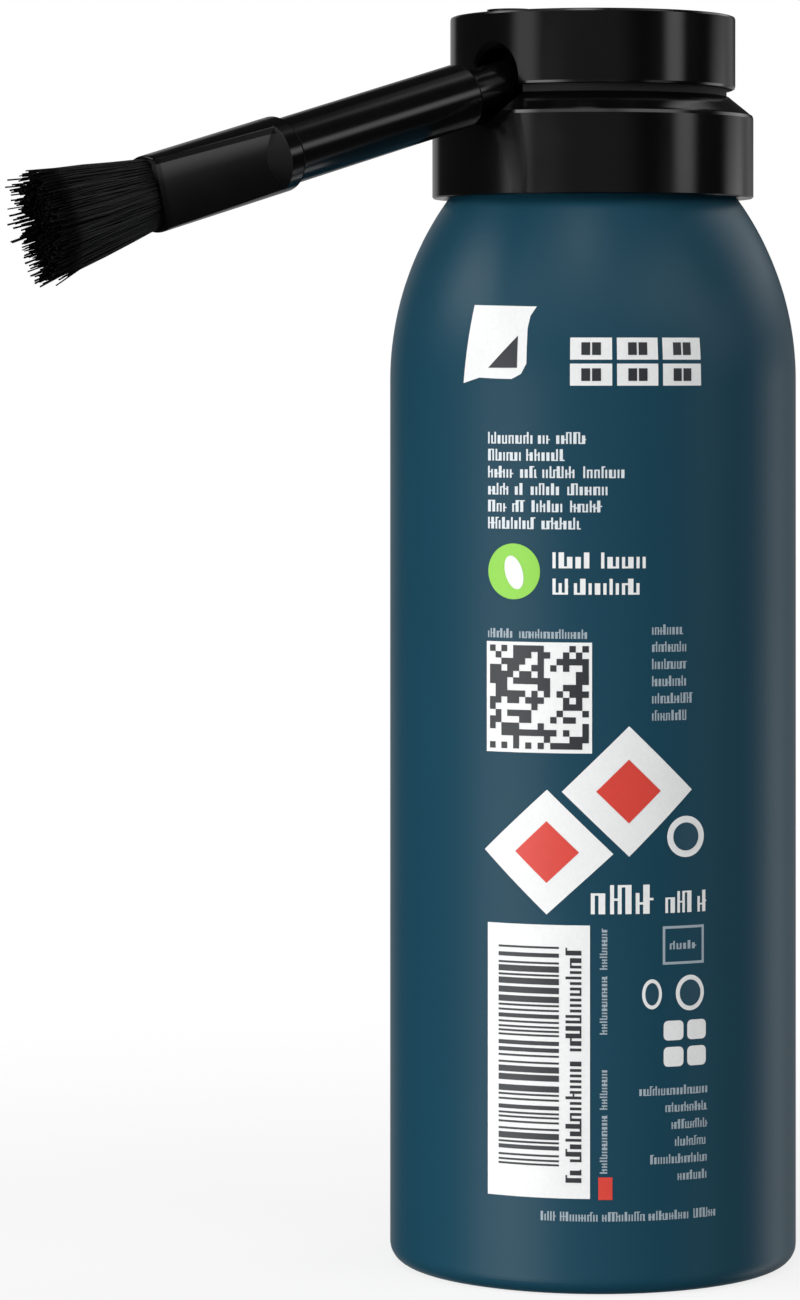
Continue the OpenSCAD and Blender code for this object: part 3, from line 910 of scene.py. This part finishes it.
def makeFloor(s):
    bpy.ops.mesh.primitive_plane_add(size=s["floorSize"], location=(0, 0, -s["floorDrop"]))
    floor = bpy.context.object
    floor.name = "studioFloor"
    f = Finish("floorPaper")
    x, y, z = f.axes(f.place())
    faded = ((x * x + y * y) ** 0.5).soft(s["fadeFrom"], s["fadeTo"])
    glowing = faded * (1 - s["paperGlow"]) + s["paperGlow"]
    paper = f.node("ShaderNodeBsdfDiffuse", None, {"Color": (s["paper"], s["paper"], s["paper"], 1)})
    glow = f.node("ShaderNodeEmission", None, {"Color": plainWhite, "Strength": 1.0})
    seen = f.node("ShaderNodeMixShader", None, {0: glowing, 1: paper, 2: glow})
    clear = f.node("ShaderNodeBsdfTransparent", None, {"Color": plainWhite})
    camera = f.node("ShaderNodeLightPath", out="Is Camera Ray")
    f.surface(f.node("ShaderNodeMixShader", None, {0: camera, 1: clear, 2: seen}))
    floor.data.materials.append(f.material)


def makeWorld(s, panels):
    world = bpy.data.worlds.new("whiteRoom")
    world.use_nodes = True
    tree = world.node_tree
    tree.nodes.clear()
    toCamera = cameraSettings["heading"] - 90
    direction = addNode(tree, "ShaderNodeTexCoord", out="Generated")
    x, y, z = (addNode(tree, "ShaderNodeSeparateXYZ", None, {"Vector": direction}, out=i) for i in range(3))
    turn = y.maths("ARCTAN2", y, x) * math.degrees(1) - toCamera
    rise = z.maths("ARCSINE", z) * math.degrees(1)
    level = s["ambient"]
    for centre, half, edge, low, high, riseEdge, brightness in panels.values():
        aside = abs(turn.maths("WRAP", turn - centre, 180.0, -180.0))
        window = 1 - aside.soft(half - edge / 2, half + edge / 2)
        window = window * rise.soft(low - riseEdge / 2, low + riseEdge / 2)
        window = window * (1 - rise.soft(high - riseEdge / 2, high + riseEdge / 2))
        level = window * brightness + level
    room = addNode(tree, "ShaderNodeBackground", None, {"Color": plainWhite, "Strength": level})
    seen = addNode(tree, "ShaderNodeBackground", None, {"Color": plainWhite, "Strength": 1.0})
    camera = addNode(tree, "ShaderNodeLightPath", out="Is Camera Ray")
    both = addNode(tree, "ShaderNodeMixShader", None, {0: camera, 1: room, 2: seen})
    output = tree.nodes.new("ShaderNodeOutputWorld")
    tree.links.new(both.socket, output.inputs["Surface"])
    bpy.context.scene.world = world


makeFloor(stageSettings)
makeWorld(stageSettings, lightPanels)
bpy.context.scene.view_settings.view_transform = "Standard"
print("stage lit")
